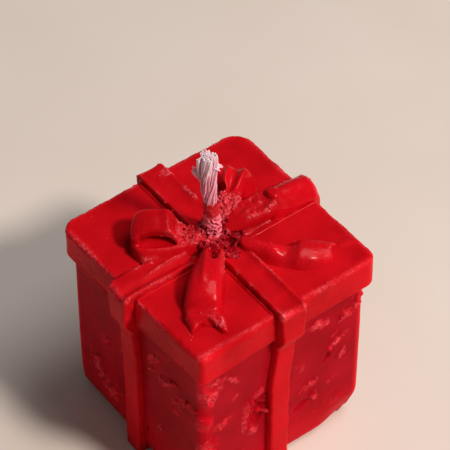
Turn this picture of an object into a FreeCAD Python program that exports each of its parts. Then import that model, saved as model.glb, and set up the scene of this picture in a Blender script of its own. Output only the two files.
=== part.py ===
"""A small moulded wax candle in the shape of a wrapped gift box.

The wax is one casting: a square box with a wider lid, a ribbon that crosses the lid and
runs down all four walls, and a bow of loops and tails round a cotton wick. Each named
part of the casting is a solid of its own here, and the solids meet face to face.

Millimetres, +Z up. The origin is the centre of the base. The ribbons lie along X and Y.
"""

import math
import os

import FreeCAD
import Part

Vector = FreeCAD.Vector

# ---- box and lid -------------------------------------------------------------------
LID_WIDTH = 45.0  # square lid, outside
LID_HEIGHT = 7.0  # thickness of the lid slab
LID_OVERHANG = 1.9  # how far the lid stands out past each wall
WALL_HEIGHT = 40.2  # base to the underside of the lid
WALL_CORNER_RADIUS = 3.0  # upright edges of the box
LID_CORNER_RADIUS = 3.4  # upright edges of the lid
LID_EDGE_RADIUS = 0.9  # top edge of the lid
BASE_EDGE_RADIUS = 1.6  # bottom edge of the box

# ---- ribbon ------------------------------------------------------------------------
RIBBON_WIDTH = 6.4  # on the lid
RIBBON_FOOT_WIDTH = 5.2  # at the base, where the strip is narrower
RIBBON_THICKNESS = 2.0  # how far the ribbon stands proud
RIBBON_STEP = 3.5  # height over which it steps in from the lid to the wall
RIBBON_EDGE_RADIUS = 0.7

# ---- bow ---------------------------------------------------------------------------
KNOT_RADIUS = 4.6  # at the lid
KNOT_TOP_RADIUS = 3.0
KNOT_HEIGHT = 4.4
KNOT_CROWN_RADIUS = 0.9  # rounding of the mound's top edge
BOW_ROOT = 1.7  # the loops and tails start this far from the centre, inside the knot
BOW_ROOT_WIDTH = 4.4  # width of a loop or a tail where it starts
LOOP_WALL = 1.5  # thickness of the ribbon round a loop's hollow
LOOP_WEB = 2.4  # wax left between the two hollows of a loop
TAIL_NOTCH = 2.4  # depth of the V cut in a tail's end
TAIL_NOTCH_SPREAD = 0.93  # half the V's opening for each unit of its depth

# A loop lies on the lid: (direction in degrees, reach from the centre, width, height)
LOOPS = {
    "bow_loop_left": (148.0, 17.2, 9.6, 7.4),
    "bow_loop_back": (38.0, 16.5, 8.4, 7.2),
}
# This loop is pressed flat on top of a ribbon arm and has no hollow
PRESSED_LOOP = "bow_loop_right"
PRESSED_LOOP_REACH, PRESSED_LOOP_HEIGHT = 14.5, 4.6

# A tail: (direction in degrees, gap from its end to the lid's edge, width, crest height,
# how far before its end it folds down to the lid)
TAILS = {
    "bow_tail_front": (228.0, 5.9, 7.2, 5.0, 4.9),
    "bow_tail_right": (310.5, 6.4, 6.6, 4.4, 6.6),
}

# ---- wick --------------------------------------------------------------------------
WICK_DIAMETER = 2.4  # braided cotton
WICK_X, WICK_Y = -0.5, 0.9  # the wick stands a little off the centre
WICK_ABOVE_LID = 23.6  # height of its tip over the lid
WICK_LEAN_X, WICK_LEAN_Y = -0.9, 0.7  # how far the tip leans from the root
WICK_TIP_DIAMETER = 3.8  # across the frayed end
WICK_FRAY_LENGTH = 11.0
COAT_THICKNESS = 0.5  # wax that has climbed the wick
COAT_LENGTH = 11.0  # along the wick, from the lid

# ---- worked out from the sizes above -----------------------------------------------
LID_HALF = LID_WIDTH / 2
WALL_HALF = LID_HALF - LID_OVERHANG
LID_TOP = WALL_HEIGHT + LID_HEIGHT
RIBBON_TOP = LID_TOP + RIBBON_THICKNESS
UP = Vector(0, 0, 1)
WICK_ROOT = Vector(WICK_X, WICK_Y, LID_TOP)
WICK_TIP = WICK_ROOT + Vector(WICK_LEAN_X, WICK_LEAN_Y, WICK_ABOVE_LID)
WICK_LINE = (WICK_TIP - WICK_ROOT).normalize()
BEYOND = 2 * (LID_WIDTH + WALL_HEIGHT)  # longer than anything that it has to cut
HAIR = 0.01  # tolerance when an edge is looked for


def main_solid(shape):
    """The largest solid of a shape, so that a cut leaves one clean piece."""
    return max(shape.Solids, key=lambda solid: solid.Volume)


def edges_where(shape, test):
    """The shape's edges whose middle and run, from end to end, pass the test."""
    found = []
    for edge in shape.Edges:
        run = edge.valueAt(edge.LastParameter) - edge.valueAt(edge.FirstParameter)
        if test(edge.CenterOfMass, run):
            found.append(edge)
    return found


def plate(points, thickness):
    """A flat plate with this outline, grown along `thickness`."""
    wire = Part.makePolygon(points + [points[0]])
    return Part.Face(wire).extrude(thickness)


def turned(shape, degrees):
    """A copy turned about the upright axis."""
    copy = shape.copy()
    copy.rotate(Vector(0, 0, 0), UP, degrees)
    return copy


def rounded_slab(half, low, high, corner_radius):
    """A square slab with rounded upright edges."""
    slab = Part.makeBox(2 * half, 2 * half, high - low, Vector(-half, -half, low))
    upright = edges_where(slab, lambda middle, run: abs(run.z) > HAIR)
    return slab.makeFillet(corner_radius, upright)


def wick_channel():
    """The channel that the wick fills, straight up through the box and the lid."""
    return Part.makeCylinder(WICK_DIAMETER / 2, LID_TOP, Vector(WICK_X, WICK_Y, 0), UP)


def make_box_body():
    body = rounded_slab(WALL_HALF, 0, WALL_HEIGHT, WALL_CORNER_RADIUS)
    rim = edges_where(body, lambda middle, run: middle.z < HAIR)
    return body.makeFillet(BASE_EDGE_RADIUS, rim).cut(wick_channel())


def make_lid():
    lid = rounded_slab(LID_HALF, WALL_HEIGHT, LID_TOP, LID_CORNER_RADIUS)
    rim = edges_where(lid, lambda middle, run: middle.z > LID_TOP - HAIR)
    return lid.makeFillet(LID_EDGE_RADIUS, rim).cut(wick_channel())


def make_ribbon_arm():
    """One arm of the ribbon along +X: over the lid, down its side, then down the wall."""
    wall_face = WALL_HALF + RIBBON_THICKNESS
    lid_face = LID_HALF + RIBBON_THICKNESS
    side_view = [
        (WALL_HALF, 0),
        (wall_face, 0),
        (wall_face, WALL_HEIGHT - RIBBON_STEP),
        (lid_face, WALL_HEIGHT),
        (lid_face, RIBBON_TOP),
        (0, RIBBON_TOP),
        (0, LID_TOP),
        (LID_HALF, LID_TOP),
        (LID_HALF, WALL_HEIGHT),
        (WALL_HALF, WALL_HEIGHT),
    ]
    outline = [Vector(x, -RIBBON_WIDTH / 2, z) for x, z in side_view]
    arm = plate(outline, Vector(0, RIBBON_WIDTH, 0))
    arm = arm.common(foot_taper()).common(corner_mitre())
    shoulder = edges_where(
        arm, lambda middle, run: middle.x > lid_face - HAIR and middle.z > RIBBON_TOP - HAIR
    )
    arm = arm.makeFillet(RIBBON_THICKNESS / 2, shoulder)
    long_edges = edges_where(
        arm, lambda middle, run: middle.z > RIBBON_TOP - HAIR and abs(run.y) < HAIR
    )
    radius = min(RIBBON_EDGE_RADIUS, 0.45 * RIBBON_THICKNESS)
    return main_solid(arm.makeFillet(radius, long_edges))


def foot_taper():
    """The ribbon's front view, which narrows from the lid to the base."""
    half_top, half_foot = RIBBON_WIDTH / 2, RIBBON_FOOT_WIDTH / 2
    step_foot = WALL_HEIGHT - RIBBON_STEP
    points = [
        Vector(0, -half_foot, 0),
        Vector(0, -half_top, step_foot),
        Vector(0, -half_top, RIBBON_TOP),
        Vector(0, half_top, RIBBON_TOP),
        Vector(0, half_top, step_foot),
        Vector(0, half_foot, 0),
    ]
    return plate(points, Vector(BEYOND, 0, 0))


def corner_mitre():
    """The quarter of the plan that belongs to one arm, so that the four arms just meet."""
    points = [Vector(0, 0, 0), Vector(BEYOND, -BEYOND, 0), Vector(BEYOND, BEYOND, 0)]
    return plate(points, Vector(0, 0, BEYOND))


def make_knot():
    """The mound that the loops and tails come out of, over the crossing of the ribbons."""
    mound = Part.makeCone(
        KNOT_RADIUS, KNOT_TOP_RADIUS, KNOT_HEIGHT, Vector(0, 0, LID_TOP), UP
    )
    crown = edges_where(
        mound, lambda middle, run: middle.z > LID_TOP + KNOT_HEIGHT - HAIR
    )
    return mound.makeFillet(KNOT_CROWN_RADIUS, crown)


def loop_outline(reach, height, floor, inset=0.0):
    """A teardrop in the XZ plane that lies on `floor`, with its point in the knot."""
    low, high = floor + inset, floor + height - inset
    nose_radius = height / 2 - inset
    nose_start = reach - height / 2
    root = BOW_ROOT + 2 * inset
    root_low = Vector(root, 0, low)
    root_high = Vector(root, 0, low + 0.45 * (high - low))
    crest = Vector(0.62 * nose_start, 0, high - 0.04 * height)
    nose_low = Vector(nose_start, 0, low)
    nose_tip = Vector(nose_start + nose_radius, 0, low + nose_radius)
    nose_high = Vector(nose_start, 0, high)
    edges = [
        Part.makeLine(root_low, nose_low),
        Part.Arc(nose_low, nose_tip, nose_high).toShape(),
        Part.Arc(nose_high, crest, root_high).toShape(),
        Part.makeLine(root_high, root_low),
    ]
    return Part.Face(Part.Wire(edges))


def widening_strip(widen_to, reach, width, floor, height):
    """A strip in plan: narrow at the knot, full width from `widen_to` to `reach`."""
    half_root = min(BOW_ROOT_WIDTH, width) / 2
    half = width / 2
    points = [
        Vector(0, -half_root, floor),
        Vector(widen_to, -half, floor),
        Vector(reach, -half, floor),
        Vector(reach, half, floor),
        Vector(widen_to, half, floor),
        Vector(0, half_root, floor),
    ]
    return plate(points, Vector(0, 0, height))


def make_loop(direction, reach, width, height):
    """A loop of ribbon that lies on the lid, with a shallow hollow in each side."""
    outer = loop_outline(reach, height, LID_TOP)
    outer.translate(Vector(0, -width / 2, 0))
    loop = outer.extrude(Vector(0, width, 0))
    loop = loop.common(widening_strip(0.75 * reach, reach, width, LID_TOP, height))
    hollow = loop_outline(reach, height, LID_TOP, LOOP_WALL)
    for side in (-1, 1):
        face = hollow.copy()
        face.translate(Vector(0, side * LOOP_WEB / 2, 0))
        loop = loop.cut(face.extrude(Vector(0, side * width, 0)))
    return turned(loop, direction)


def make_pressed_loop():
    """A loop pressed flat along the top of the +X ribbon arm, solid right through."""
    flat_width = RIBBON_WIDTH - 2 * RIBBON_EDGE_RADIUS
    outline = loop_outline(PRESSED_LOOP_REACH, PRESSED_LOOP_HEIGHT, RIBBON_TOP)
    outline.translate(Vector(0, -flat_width / 2, 0))
    return outline.extrude(Vector(0, flat_width, 0))


def tail_outline(reach, height, fold):
    """A tail's side view: up out of the knot, down at the fold, a lip, then its end."""
    z = LID_TOP
    start = Vector(BOW_ROOT, 0, z + 0.70 * height)
    crest = Vector(0.45 * reach, 0, z + height)
    valley = Vector(reach - fold, 0, z + 0.34 * height)
    lip = Vector(reach - fold / 2, 0, z + 0.46 * height)
    end_high = Vector(reach, 0, z + 0.22 * height)
    end_low = Vector(reach, 0, z)
    start_low = Vector(BOW_ROOT, 0, z)
    edges = [
        Part.Arc(start, crest, valley).toShape(),
        Part.Arc(valley, lip, end_high).toShape(),
        Part.makeLine(end_high, end_low),
        Part.makeLine(end_low, start_low),
        Part.makeLine(start_low, start),
    ]
    return Part.Face(Part.Wire(edges))


def make_tail(direction, edge_gap, width, height, fold):
    """A ribbon tail that ends in a V, short of the lid's edge by its gap."""
    angle = math.radians(direction)
    to_edge = LID_HALF / max(abs(math.cos(angle)), abs(math.sin(angle)))
    reach = to_edge - edge_gap
    outline = tail_outline(reach, height, fold)
    outline.translate(Vector(0, -width / 2, 0))
    tail = outline.extrude(Vector(0, width, 0))
    tail = tail.common(widening_strip(0.42 * reach, reach, width, LID_TOP, 2 * height))
    half_mouth = 2 * TAIL_NOTCH * TAIL_NOTCH_SPREAD
    notch = [
        Vector(reach - TAIL_NOTCH, 0, LID_TOP),
        Vector(reach + TAIL_NOTCH, -half_mouth, LID_TOP),
        Vector(reach + TAIL_NOTCH, half_mouth, LID_TOP),
    ]
    return turned(tail.cut(plate(notch, Vector(0, 0, 2 * height))), direction)


def rod_up_the_wick(radius, length):
    """A rod along the wick's leaning line, with a ball where the line bends at the lid."""
    rod = Part.makeCylinder(radius, length, WICK_ROOT, WICK_LINE)
    return rod.fuse(Part.makeSphere(radius, WICK_ROOT))


def make_wick():
    """The cord: upright through the wax, then leaning, and frayed wider at its tip."""
    length = (WICK_TIP - WICK_ROOT).Length
    radius = WICK_DIAMETER / 2
    fray_start = WICK_ROOT + WICK_LINE * (length - WICK_FRAY_LENGTH)
    fray = Part.makeCone(
        radius, WICK_TIP_DIAMETER / 2, WICK_FRAY_LENGTH, fray_start, WICK_LINE
    )
    wick = wick_channel().fuse([rod_up_the_wick(radius, length), fray])
    return main_solid(wick.removeSplitter())


def make_wick_coat(wick, bow):
    """The sleeve of wax that has climbed the cord, above the knot and between the loops."""
    coat = rod_up_the_wick(WICK_DIAMETER / 2 + COAT_THICKNESS, COAT_LENGTH)
    return main_solid(coat.cut([wick, *bow]))


def build():
    """Every node of the candle, by name. A later piece is cut to fit the earlier ones."""
    wick = make_wick()
    knot = make_knot()
    nodes = {"box_body": make_box_body(), "lid": make_lid(), "wick": wick}
    arm = make_ribbon_arm()
    for side, degrees in (("right", 0), ("back", 90), ("left", 180), ("front", 270)):
        nodes["ribbon_" + side] = main_solid(turned(arm, degrees).cut(knot))
    placed = [nodes[name] for name in nodes if name.startswith("ribbon_")] + [knot]
    bow = {name: make_loop(*sizes) for name, sizes in LOOPS.items()}
    bow[PRESSED_LOOP] = make_pressed_loop()
    bow.update({name: make_tail(*sizes) for name, sizes in TAILS.items()})
    for name, shape in bow.items():
        nodes[name] = main_solid(shape.cut(placed))
        placed.append(nodes[name])
    nodes["bow_knot"] = main_solid(knot.cut(wick))
    nodes["wick_wax_coat"] = make_wick_coat(wick, placed)
    return nodes


def main():
    os.makedirs("parts", exist_ok=True)
    for name, solid in build().items():
        solid.exportStep(os.path.join("parts", name + ".step"))
        print(f"{name:16s} {solid.Volume:9.1f} mm3  valid {solid.isValid()}")


main()
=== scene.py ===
"""A red wax candle moulded as a wrapped gift box, on a pale table under soft studio light.

The wax pieces are shaped in millimetres and turned to metres when each mesh is made. The
box and the lid are lofted. The ribbon, the bow and the wax on the wick are each described
as a field, the distance of each place in a small block of space from the wax's skin, and
the skin is cast from that.
"""

import math

import bpy
import numpy as np
import openvdb
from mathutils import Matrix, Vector


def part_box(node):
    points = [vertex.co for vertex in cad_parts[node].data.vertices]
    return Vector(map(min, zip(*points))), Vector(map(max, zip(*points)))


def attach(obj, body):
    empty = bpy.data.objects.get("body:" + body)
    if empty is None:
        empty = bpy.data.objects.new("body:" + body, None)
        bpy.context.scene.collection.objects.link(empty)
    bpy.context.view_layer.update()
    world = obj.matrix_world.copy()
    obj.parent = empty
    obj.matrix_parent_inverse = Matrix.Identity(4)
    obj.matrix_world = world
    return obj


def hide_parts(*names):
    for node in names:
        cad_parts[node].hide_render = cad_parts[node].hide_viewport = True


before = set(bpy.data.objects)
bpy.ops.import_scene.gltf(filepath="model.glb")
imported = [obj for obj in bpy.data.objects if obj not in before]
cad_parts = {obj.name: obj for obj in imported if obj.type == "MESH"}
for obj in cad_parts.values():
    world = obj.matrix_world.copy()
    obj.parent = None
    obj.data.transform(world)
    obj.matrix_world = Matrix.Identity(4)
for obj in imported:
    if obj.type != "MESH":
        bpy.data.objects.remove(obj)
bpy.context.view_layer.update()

MM = 0.001  # metres in a millimetre


def node_box(node):
    """A node's lowest and highest corners in the frame, in millimetres."""
    low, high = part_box(node)
    return np.array(low) / MM, np.array(high) / MM


# ---- sizes, from the frame ----
LID_LOW, LID_HIGH = node_box("lid")
LID_HALF = LID_HIGH[0]
LID_TOP = LID_HIGH[2]
LID_FOOT = LID_LOW[2]
WALL_BULGE = 0.5  # the walls stand this far past the mould's flat
WALL_HALF = node_box("box_body")[1][0] + WALL_BULGE
RIBBON_REACH, _, RIBBON_TOP = node_box("ribbon_right")[1]
RIBBON_HALF = node_box("ribbon_right")[1][1]
RIBBON_PROUD = RIBBON_TOP - LID_TOP


# ---- numbers over space ----
def patchy(x, y, z, grain, seed):
    """Smooth repeatable noise from -1 to 1, whose lumps are about `grain` mm apart."""
    count = 32
    table = np.random.default_rng(seed).uniform(-1, 1, (count,) * 3).astype(np.float32)
    cell, share = [], []
    for axis in (x, y, z):
        scaled = np.asarray(axis, np.float32) / grain + 0.37 * seed  # off the round places
        whole = np.floor(scaled)
        part = scaled - whole
        cell.append(whole.astype(np.int32) % count)
        share.append(part * part * (3 - 2 * part))
    total = 0
    for corner in np.ndindex(2, 2, 2):
        index = tuple((c + step) % count for c, step in zip(cell, corner))
        weight = 1
        for part, step in zip(share, corner):
            weight = weight * (part if step else 1 - part)
        total = total + table[index] * weight
    return total


def rough(x, y, z, grain, seed, layers=3):
    """Noise with finer noise on it, each layer half the size and half the strength."""
    return sum(patchy(x, y, z, grain / 2**k, seed + k) / 2**k for k in range(layers))


def bubble_gap(x, y, z, spacing, seed):
    """Distance in mm to the nearest of many scattered bubbles, about one in each cell."""
    count = 16
    spots = np.random.default_rng(seed).uniform(0.1, 0.9, (count, count, count, 3))
    spots = spots.astype(np.float32)
    place = [np.asarray(axis, np.float32) / spacing for axis in (x, y, z)]
    whole = [np.floor(axis).astype(np.int32) for axis in place]
    nearest = np.full(np.shape(x), 9.0, np.float32)
    for shift in np.ndindex(3, 3, 3):
        cell = [w + s - 1 for w, s in zip(whole, shift)]
        spot = spots[tuple(c % count for c in cell)]
        gap = sum((cell[k] + spot[..., k] - place[k]) ** 2 for k in range(3))
        nearest = np.minimum(nearest, gap)
    return np.sqrt(nearest) * spacing


def ease(value, low, high):
    """0 below `low`, 1 above `high`, and a smooth rise between."""
    part = np.clip((value - low) / (high - low), 0, 1)
    return part * part * (3 - 2 * part)


def fade(value, low, high):
    """1 below `low`, 0 above `high`, and a smooth fall between."""
    return 1 - ease(value, low, high)


def hump(t):
    """1 at t = 0, with a smooth fall to almost nothing by 2 on either side."""
    return np.exp(-(t**2))


def through(u, points):
    """A smooth line through a few (place, value) points, read at u."""
    knots, values = np.array(points, np.float32).T
    slopes = np.gradient(values, knots)
    u = np.clip(u, knots[0], knots[-1])
    i = np.clip(np.searchsorted(knots, u, side="right") - 1, 0, len(knots) - 2)
    width = knots[i + 1] - knots[i]
    t = (u - knots[i]) / width
    start = values[i] * (1 + 2 * t) + width * slopes[i] * t
    end = values[i + 1] * (3 - 2 * t) - width * slopes[i + 1] * (1 - t)
    return start * (1 - t) ** 2 + end * t * t


def joined(a, b, soften):
    """Two fields as one shape, with a fillet of about `soften` mm where they meet."""
    h = np.clip(0.5 + 0.5 * (b - a) / soften, 0, 1)
    return b + (a - b) * h - soften * h * (1 - h)


def within(a, b, soften):
    """What lies inside both fields, with its edges rounded by about `soften` mm."""
    return -joined(-a, -b, soften)


def trimmed(depth, *cuts):
    """What is left of a field inside all the others, each given with its softness."""
    for other, soften in cuts:
        depth = within(depth, other, soften)
    return depth


def turned(x, y, degrees):
    """Places read along directions that are turned by some degrees."""
    a = math.radians(degrees)
    return x * math.cos(a) + y * math.sin(a), y * math.cos(a) - x * math.sin(a)


# ---- meshes ----
def in_scene(name, data):
    """An object of this mesh, curve, light or camera, in the scene at the origin."""
    thing = bpy.data.objects.new(name, data)
    bpy.context.scene.collection.objects.link(thing)
    return thing


def make_mesh(name, points, quads, triangles=()):
    """A smooth closed mesh from points in mm, its faces turned outwards."""
    points = np.asarray(points, np.float64)
    quads = np.asarray(quads, np.int64).reshape(-1, 4)
    triangles = np.asarray(triangles, np.int64).reshape(-1, 3)
    both = np.concatenate([triangles, quads[:, :3], quads[:, [0, 2, 3]]])
    a, b, c = (points[both[:, k]] for k in range(3))
    if np.einsum("ij,ij->i", a, np.cross(b, c)).sum() < 0:
        quads, triangles = quads[:, ::-1], triangles[:, ::-1]
    mesh = bpy.data.meshes.new(name)
    mesh.vertices.add(len(points))
    mesh.vertices.foreach_set("co", (points * MM).ravel())
    corners = np.concatenate([quads.ravel(), triangles.ravel()])
    sizes = np.concatenate([np.full(len(quads), 4), np.full(len(triangles), 3)])
    mesh.loops.add(len(corners))
    mesh.loops.foreach_set("vertex_index", corners)
    mesh.polygons.add(len(sizes))
    mesh.polygons.foreach_set("loop_start", np.cumsum(sizes) - sizes)
    mesh.polygons.foreach_set("use_smooth", np.ones(len(sizes), bool))
    mesh.update(calc_edges=True)
    mesh.validate()
    return in_scene(name, mesh)


def paint(piece, name, values):
    """Stores a number at each point of a piece, for its material and its crumbs."""
    layer = piece.data.attributes.new(name, "FLOAT", "POINT")
    layer.data.foreach_set("value", np.asarray(values, np.float32))


def points_of(piece):
    """A piece's points in mm, as x, y and z."""
    flat = np.empty(len(piece.data.vertices) * 3, np.float32)
    piece.data.vertices.foreach_get("co", flat)
    return (flat.reshape(-1, 3) / MM).T


def cast(name, low, high, step, field, turn=0.0, floor=0.0):
    """Casts a field's skin over a block of space, then turns it and lifts it into place."""
    low, high = np.array(low, float), np.array(high, float)
    counts = np.ceil((high - low) / step).astype(int) + 1
    axes = [low[k] + step * np.arange(counts[k]) for k in range(3)]
    x, y, z = (a.astype(np.float32) for a in np.meshgrid(*axes, indexing="ij"))
    deepest = 3 * step  # the grid only needs to know distances this near the skin
    depth = np.clip(field(x, y, z), -deepest, deepest).astype(np.float32)
    for side in (0, -1):
        depth[side], depth[:, side], depth[:, :, side] = deepest, deepest, deepest
    grid = openvdb.FloatGrid(deepest)
    grid.copyFromArray(depth)
    points, quads = grid.convertToQuads()
    points = points * step + low
    angle = math.radians(turn)
    spin = np.array([[math.cos(angle), math.sin(angle)], [-math.sin(angle), math.cos(angle)]])
    points[:, :2] = points[:, :2] @ spin
    points[:, 2] += floor
    return make_mesh(name, points, quads)


def square_outline(half, radii, spacing):
    """Places and outward directions round a square, with a radius for each corner.

    It starts on the +X side and goes anticlockwise: corners (+,+), (-,+), (-,-), (+,-).
    """
    places, outward = [], []
    for k, radius in enumerate(radii):
        start, end = -(half - radii[k - 1]), half - radius
        count = max(2, round((end - start) / spacing))
        side = [(half, start + (end - start) * i / count, 0.0) for i in range(count)]
        bends = max(8, round(radius * math.pi / 2 / spacing))
        for i in range(bends):
            a = math.pi / 2 * i / bends
            side.append((end + radius * math.cos(a), end + radius * math.sin(a), a))
        turn = math.pi / 2 * k
        for px, py, a in side:
            places.append(
                (px * math.cos(turn) - py * math.sin(turn),
                 px * math.sin(turn) + py * math.cos(turn))
            )
            outward.append((math.cos(turn + a), math.sin(turn + a)))
    return np.array(places), np.array(outward)


def loft(name, outline, rows, shape):
    """A closed skin through rows of (outset, height, share of the way to the centre).

    `shape` takes the points and their outward directions, and returns the points moved.
    """
    places, outward = outline
    count = len(places)
    rings, ways = [], []
    for outset, height, inward in rows:
        ring = (places + outward * outset) * (1 - inward)
        rings.append(np.column_stack([ring, np.full(count, height)]))
        ways.append(np.column_stack([outward, np.zeros(count)]))
    points = shape(np.concatenate(rings), np.concatenate(ways))
    ends = [[0, 0, points[:count, 2].mean()], [0, 0, points[-count:, 2].mean()]]
    row, col = np.meshgrid(np.arange(len(rows) - 1), np.arange(count), indexing="ij")
    here, beside = row * count + col, row * count + (col + 1) % count
    quads = np.stack([here, beside, beside + count, here + count], -1).reshape(-1, 4)
    first, second = np.arange(count), (np.arange(count) + 1) % count
    last = (len(rows) - 1) * count
    low_end = np.full(count, len(points))
    fans = [np.stack([second, first, low_end], -1)]
    fans.append(np.stack([last + first, last + second, low_end + 1], -1))
    return make_mesh(name, np.concatenate([points, ends]), quads, np.concatenate(fans))


# ---- colours and materials ----
def to_linear(hex_colour):
    """An sRGB hex colour as the linear RGBA that the nodes take."""
    out = []
    for k in (1, 3, 5):
        c = int(hex_colour[k:k + 2], 16) / 255
        out.append(c / 12.92 if c <= 0.04045 else ((c + 0.055) / 1.055) ** 2.4)
    return (*out, 1.0)


def add(tree, kind, inputs=(), **settings):
    """Adds a node, sets it, and fills its sockets with values, sockets or other nodes.

    `inputs` names the sockets, or lists what goes into the first ones, in their order. A
    node stands for its first output.
    """
    made = tree.nodes.new(kind)
    for key, value in settings.items():
        setattr(made, key, value)
    for key, value in inputs.items() if isinstance(inputs, dict) else enumerate(inputs):
        if isinstance(value, bpy.types.Node):
            value = value.outputs[0]
        if isinstance(value, bpy.types.NodeSocket):
            tree.links.new(value, made.inputs[key])
        else:
            made.inputs[key].default_value = value
    return made


def set_stops(ramp, *stops):
    """Sets where a ramp's colours lie, and what they are."""
    for element, (place, colour) in zip(ramp.color_ramp.elements, stops):
        element.position = place
        element.color = to_linear(colour)


def make_material(name, finish, *look):
    """A material whose nodes come from `finish`, which sees the piece's own coordinates."""
    material = bpy.data.materials.new(name)
    material.use_nodes = True
    tree = material.node_tree
    tree.nodes.clear()
    spot = add(tree, "ShaderNodeTexCoord").outputs["Object"]
    add(tree, "ShaderNodeOutputMaterial", (finish(tree, spot, *look),))
    return material


def moulded_wax(tree, spot, deepest, palest, sheen, dullest, ripple):
    """Dyed paraffin cast in silicone: satin and deep red, with a brighter red painted on as glow.
    """
    frost = add(tree, "ShaderNodeAttribute", attribute_name="frost").outputs["Fac"]
    thin_and_painted_glow = add(tree, "ShaderNodeAttribute", attribute_name="thin_and_painted_glow").outputs["Fac"]
    cloud, speckle, grain, skin = (
        add(tree, "ShaderNodeTexNoise", {
            "Vector": spot, "Scale": 1 / (size * MM), "Detail": detail})
        for size, detail in ((7, 3.0), (0.9, 4.0), (0.45, 2.0), (2.4, 4.0)))
    depth = add(tree, "ShaderNodeValToRGB", (cloud,))
    set_stops(depth, (0.3, deepest), (0.7, palest))
    # painted glow: the red turns brighter where the piece's glow attribute is high
    body = add(tree, "ShaderNodeMix", {
        0: thin_and_painted_glow, 6: depth, 7: to_linear("#E81222")}, data_type="RGBA")
    # frost turns the wax pale pink in specks at the grain's peaks: partly the crust's own colour,
    # partly painted glints
    grains = add(tree, "ShaderNodeMapRange", (grain, 0.45, 0.64, 0.15, 1.0))
    frost_and_painted_glints = add(tree, "ShaderNodeMath", (frost, grains), operation="MULTIPLY", use_clamp=True)
    colour = add(tree, "ShaderNodeMix", {
        0: frost_and_painted_glints, 6: body.outputs[2], 7: to_linear("#FF6A78")}, data_type="RGBA")
    dull = add(tree, "ShaderNodeMapRange", (speckle, 0.3, 0.7, dullest - 0.16, dullest))
    clear = add(tree, "ShaderNodeMapRange", (frost, 0.0, 0.8, 0.7, 0.05))
    bump = add(tree, "ShaderNodeBump", {
        "Height": skin, "Strength": ripple, "Distance": 0.15 * MM})
    crust = add(tree, "ShaderNodeMath", (frost, grain), operation="MULTIPLY")
    bump = add(tree, "ShaderNodeBump", {
        "Height": crust, "Strength": 0.8, "Distance": 0.35 * MM, "Normal": bump})
    return add(tree, "ShaderNodeBsdfPrincipled", {
        "Base Color": colour.outputs[2], "Roughness": dull, "Normal": bump, "IOR": 1.44,
        "Specular IOR Level": sheen, "Specular Tint": to_linear("#FFB4B8"),
        "Subsurface Weight": clear, "Subsurface Radius": (1.0, 0.14, 0.12),
        "Subsurface Scale": 0.9 * MM})


def soaked_wick_wax(tree, spot):
    """Wax that has foamed in the cotton's pores: pale pink froth over a red underside."""
    frost = add(tree, "ShaderNodeAttribute", attribute_name="frost").outputs["Fac"]
    grain = add(tree, "ShaderNodeTexNoise", {
        "Vector": spot, "Scale": 1 / (0.5 * MM), "Detail": 3.0})
    shade = add(tree, "ShaderNodeMath", (frost, grain), operation="ADD")
    shade = add(tree, "ShaderNodeValToRGB", (shade,))
    set_stops(shade, (0.55, "#C0141F"), (0.9615, "#FF7A90"))
    return add(tree, "ShaderNodeBsdfPrincipled", {
        "Base Color": shade, "Roughness": 0.38, "Subsurface Weight": 0.3,
        "Subsurface Radius": (1.0, 0.4, 0.4), "Subsurface Scale": 0.3 * MM})


def braided_cotton(tree, spot):
    """Bleached cotton yarn that has drawn up a little dye: matt, pale, pinker lower down."""
    height = add(tree, "ShaderNodeSeparateXYZ", (spot,)).outputs["Z"]
    blush = add(tree, "ShaderNodeMapRange", (
        height, (LID_TOP + 9) * MM, (LID_TOP + 22) * MM, 1.0, 0.0))
    patch = add(tree, "ShaderNodeTexNoise", {
        "Vector": spot, "Scale": 1 / (1.4 * MM), "Detail": 2.0})
    tint = add(tree, "ShaderNodeMath", (blush, patch), operation="ADD")
    tint = add(tree, "ShaderNodeValToRGB", (tint,))
    set_stops(tint, (0.42, "#FFEAF3"), (1.0, "#FF94B0"))
    return add(tree, "ShaderNodeBsdfPrincipled", {
        "Base Color": tint, "Roughness": 0.85, "Sheen Weight": 0.5, "Subsurface Weight": 0.4,
        "Subsurface Radius": (1.0, 0.8, 0.9), "Subsurface Scale": 0.4 * MM})


def table_paint(tree, spot):
    """A plain pale tabletop with a faint eggshell unevenness."""
    cloud = add(tree, "ShaderNodeTexNoise", {
        "Vector": spot, "Scale": 1 / (40 * MM), "Detail": 3.0})
    tone = add(tree, "ShaderNodeValToRGB", (cloud,))
    set_stops(tone, (0.0, "#DCD0C6"), (1.0, "#E6DCD3"))
    return add(tree, "ShaderNodeBsdfPrincipled", {"Base Color": tone, "Roughness": 0.7})


# One wax in four finishes: its deepest and palest red, its shine, how dull it is where it
# is dullest, and how strongly its skin ripples. The walls' reds are darker than the lid's,
# as painted shade, and the knot's reds are darker still, as painted shade in its pits
WALL_WAX_SHADED, KNOT_WAX_SHADED, LID_WAX, BOW_WAX = (
    make_material("moulded_candle_wax_" + finish, moulded_wax, *look)
    for finish, *look in (
        ("matt", "#980814", "#B40E20", 0.02, 0.46, 0.15),
        ("torn", "#7C0210", "#AE0518", 0.36, 0.36, 0.50),
        ("satin", "#AE0912", "#CC101C", 0.03, 0.40, 0.15),
        ("glossy", "#B20612", "#D00A1A", 0.34, 0.31, 0.35)))
WICK_WAX = make_material("wax_soaked_cotton", soaked_wick_wax)
COTTON = make_material("braided_cotton", braided_cotton)


# ---- node trees that make geometry ----
def new_tree(name, inputs, output):
    """A tree with its inputs, each a name, a kind and a starting value, and its output."""
    tree = bpy.data.node_groups.new(name, "GeometryNodeTree")
    for label, kind, default in inputs:
        socket = tree.interface.new_socket(
            label, in_out="INPUT", socket_type="NodeSocket" + kind)
        if default is not None:
            socket.default_value = default
    tree.interface.new_socket(output, in_out="OUTPUT", socket_type="NodeSocketGeometry")
    return tree, add(tree, "NodeGroupInput").outputs


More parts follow.
